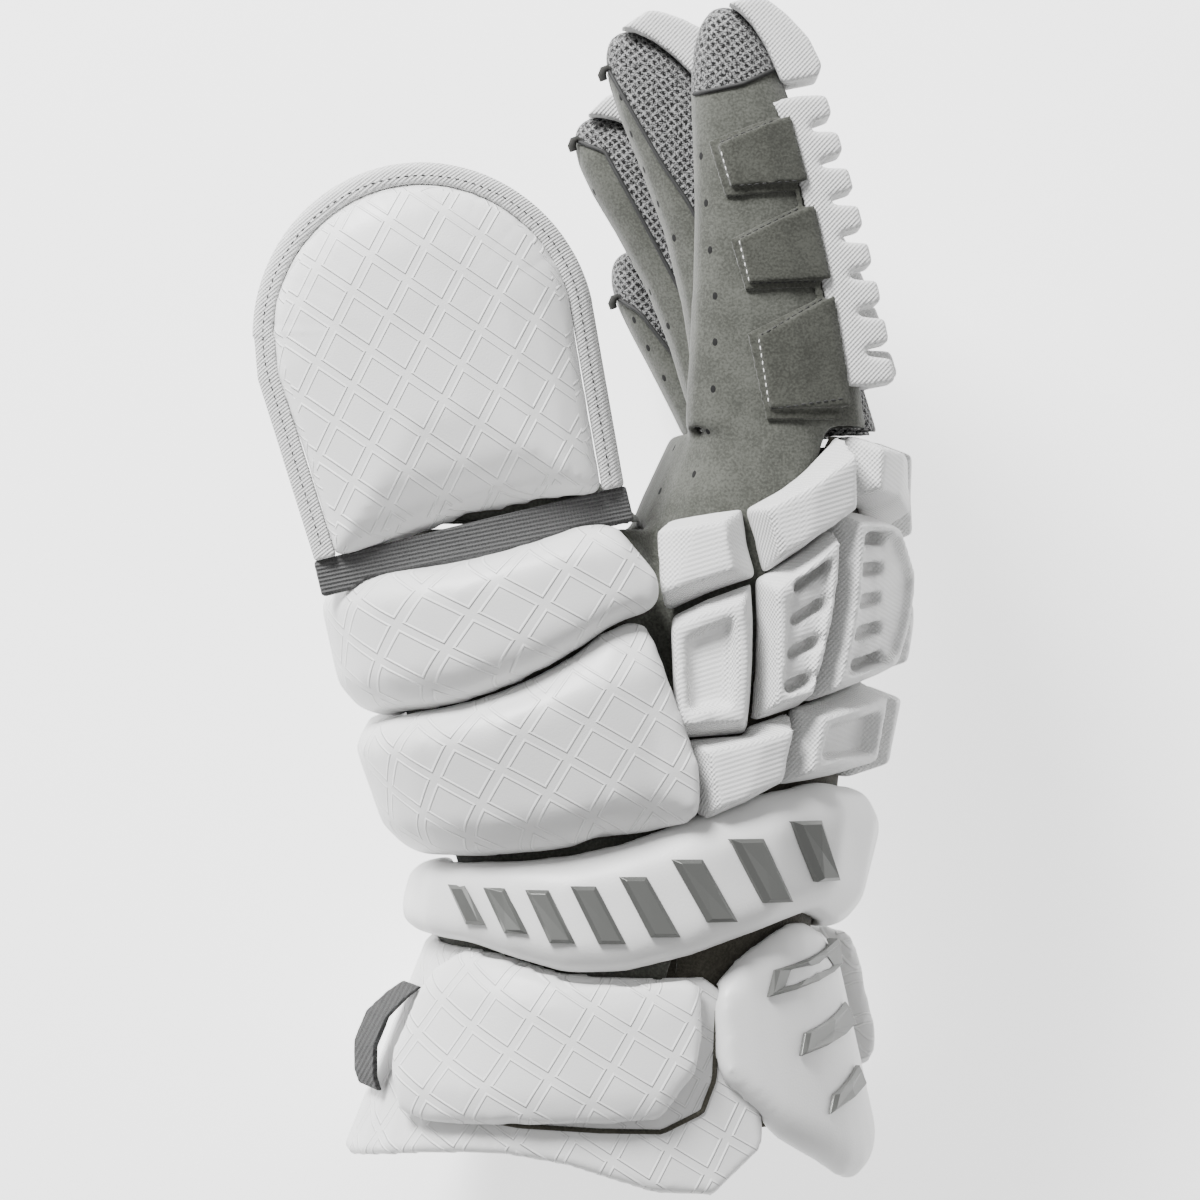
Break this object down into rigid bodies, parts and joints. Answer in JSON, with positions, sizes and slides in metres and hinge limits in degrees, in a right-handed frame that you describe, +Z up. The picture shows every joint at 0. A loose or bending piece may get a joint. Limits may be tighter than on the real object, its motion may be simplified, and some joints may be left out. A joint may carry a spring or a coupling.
{
  "type": "lacrosse glove",
  "caption": "Padded lacrosse glove for the left hand with separate finger stalls, rolled thumb guards, a wrist bar and a flared cuff, lying on its side.",
  "frame": {"origin": "middle of the bounding box on the surface the glove lies on", "axes": "+Y from the cuff to the fingertips, +X from the palm to the back of the hand, +Z up from the little finger to the thumb side"},
  "size_m": [0.1864, 0.3308, 0.1405],
  "materials": {
    "vinyl": "white coated leather, softly shining",
    "foam": "white moulded foam, matt",
    "binding": "white twill tape",
    "suede": "grey-green suede",
    "knit": "grey flecked knit",
    "lining": "olive brushed lining",
    "elastic": "grey ribbed elastic",
    "webbing": "dark woven webbing",
    "silver": "silver coated, satin"
  },
  "bodies": {
    "root": {"back_lining": "lining", "back_slat_block_far": "foam", "back_slat_block_near": "foam", "bar_rib_1": "silver", "bar_rib_2": "silver", "bar_rib_3": "silver", "bar_rib_4": "silver", "bar_rib_5": "silver", "bar_rib_6": "silver", "bar_rib_7": "silver", "bar_rib_8": "silver", "cuff_far_pad": "vinyl", "cuff_flare": "vinyl", "cuff_plate": "foam", "cuff_side_pad": "vinyl", "heel_roll": "vinyl", "index_comb": "foam", "index_knuckle_far": "foam", "index_knuckle_near": "foam", "index_overlay": "suede", "index_stall": "suede", "index_tip_pad": "foam", "knuckle_block_far": "foam", "knuckle_block_near": "foam", "lower_middle_block": "foam", "middle_block": "foam", "middle_comb": "foam", "middle_stall": "knit", "middle_tip_pad": "foam", "palm_suede": "suede", "pinky_comb": "foam", "pinky_stall": "knit", "pinky_tip_pad": "foam", "plate_trim_lower": "silver", "plate_trim_middle": "silver", "plate_trim_upper": "silver", "pull_tab": "webbing", "recess_block_far": "foam", "recess_block_near": "foam", "ring_comb": "foam", "ring_stall": "knit", "ring_tip_pad": "foam", "roll_lower": "vinyl", "roll_upper": "vinyl", "slat_block_far": "foam", "slat_block_near": "foam", "thumb_binding": "binding", "thumb_elastic": "elastic", "thumb_pad": "vinyl", "thumb_stall": "suede", "upper_middle_block": "foam", "web_pad": "foam", "wedge_block_far": "foam", "wedge_block_near": "foam", "window_block_far": "foam", "window_block_near": "foam", "wrist_bar": "foam"}
  },
  "joints": []
}
